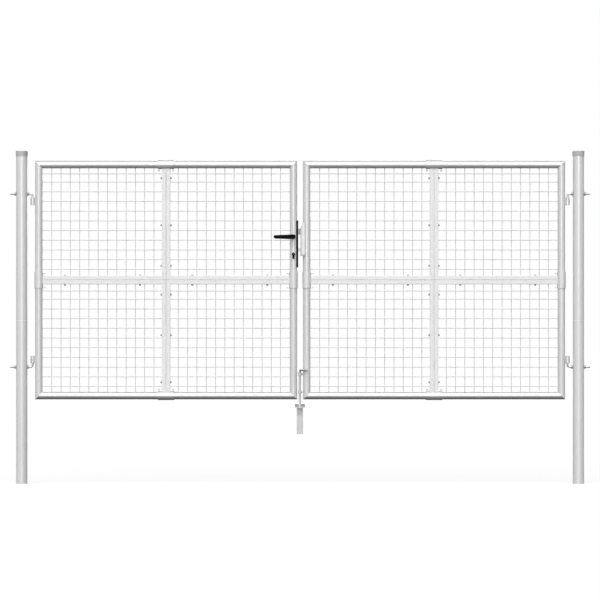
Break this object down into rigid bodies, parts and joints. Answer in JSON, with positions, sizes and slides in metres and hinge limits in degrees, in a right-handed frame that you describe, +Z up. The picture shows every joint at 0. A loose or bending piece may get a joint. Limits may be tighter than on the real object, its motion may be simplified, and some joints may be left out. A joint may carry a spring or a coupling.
{
  "type": "double-leaf welded-mesh garden gate with posts",
  "caption": "Garden gate with two leaves of welded wire mesh in round-tube frames, hung by hook bolts on round posts, with a lever lock, a keep and a drop rod with ground socket.",
  "frame": {"origin": "middle of the left post's foot face, on the post's axis", "axes": "+Z up along the posts, +X from the left post to the right post in the plane of the closed leaves, +Y to the back, where the leaves swing"},
  "size_m": [3.064, 0.12, 1.757],
  "materials": {
    "post_tube": "hot-dip galvanised, satin",
    "frame_tube": "galvanised, satin",
    "square_bar": "galvanised, matt",
    "mesh_wire": "galvanised wire, satin",
    "hardware": "zinc plated",
    "ground_socket": "galvanised, dull",
    "lock_bolt": "machined",
    "keep": "fine brushed",
    "post_cap": "moulded, matt",
    "lever": "black powder coat",
    "lock_body": "black powder coat",
    "key_cylinder": "black coated"
  },
  "bodies": {
    "posts": {"left_post_lower": "post_tube", "left_post_upper": "post_tube", "right_post_lower": "post_tube", "right_post_upper": "post_tube", "left_post_cap": "post_cap", "right_post_cap": "post_cap", "left_hook_bolts": "hardware", "right_hook_bolts": "hardware", "hook_bolt_nuts": "hardware", "ground_socket_tube": "ground_socket", "ground_socket_collar": "ground_socket"},
    "left_leaf": {"left_top_hinge_frame": "frame_tube", "left_top_lock_frame": "frame_tube", "left_bottom_hinge_frame": "frame_tube", "left_bottom_lock_frame": "frame_tube", "left_top_hinge_bars": "square_bar", "left_top_lock_bars": "square_bar", "left_bottom_hinge_bars": "square_bar", "left_bottom_lock_bars": "square_bar", "left_top_mesh": "mesh_wire", "left_bottom_mesh": "mesh_wire", "left_leaf_sleeves": "frame_tube", "left_hinge_eyes": "hardware", "lock_case": "lock_body", "lock_faceplate": "lock_body", "lock_cylinder": "key_cylinder"},
    "right_leaf": {"right_top_hinge_frame": "frame_tube", "right_top_keep_frame": "frame_tube", "right_bottom_hinge_frame": "frame_tube", "right_bottom_keep_frame": "frame_tube", "right_top_hinge_bars": "square_bar", "right_top_keep_bars": "square_bar", "right_bottom_hinge_bars": "square_bar", "right_bottom_keep_bars": "square_bar", "right_top_mesh": "mesh_wire", "right_bottom_mesh": "mesh_wire", "right_leaf_sleeves": "frame_tube", "right_hinge_eyes": "hardware", "lock_keep": "keep", "drop_rod_guides": "hardware"},
    "lever": {"lever_spindle": "hardware", "front_lever": "lever", "rear_lever": "lever"},
    "latch": {"latch_bolt": "lock_bolt"},
    "deadbolt": {"deadbolt": "lock_bolt"},
    "drop_rod": {"drop_rod": "hardware"}
  },
  "joints": [
    {"name": "left_leaf_hinge", "type": "hinge", "parent": "posts", "child": "left_leaf", "pos_m": [0.058, 0, 1.075], "axis": [0, 0, 1], "range_deg": [0, 95]},
    {"name": "right_leaf_hinge", "type": "hinge", "parent": "posts", "child": "right_leaf", "pos_m": [2.882, 0, 1.075], "axis": [0, 0, -1], "range_deg": [0, 95]},
    {"name": "lever_turn", "type": "hinge", "parent": "left_leaf", "child": "lever", "pos_m": [1.435, 0, 1.3035], "axis": [0, -1, 0], "range_deg": [0, 40], "stiffness_Nm_per_rad": 1.2, "springref_deg": -28.65},
    {"name": "latch_slide", "type": "slide", "parent": "left_leaf", "child": "latch", "axis": [-1, 0, 0], "range_m": [0, 0.016]},
    {"name": "deadbolt_slide", "type": "slide", "parent": "left_leaf", "child": "deadbolt", "axis": [-1, 0, 0], "range_m": [0, 0.016]},
    {"name": "drop_rod_slide", "type": "slide", "parent": "right_leaf", "child": "drop_rod", "axis": [0, 0, 1], "range_m": [0, 0.08]}
  ],
  "couplings": [
    {"joint": "latch_slide", "follows": "lever_turn", "m_per_rad": 0.022908}
  ]
}
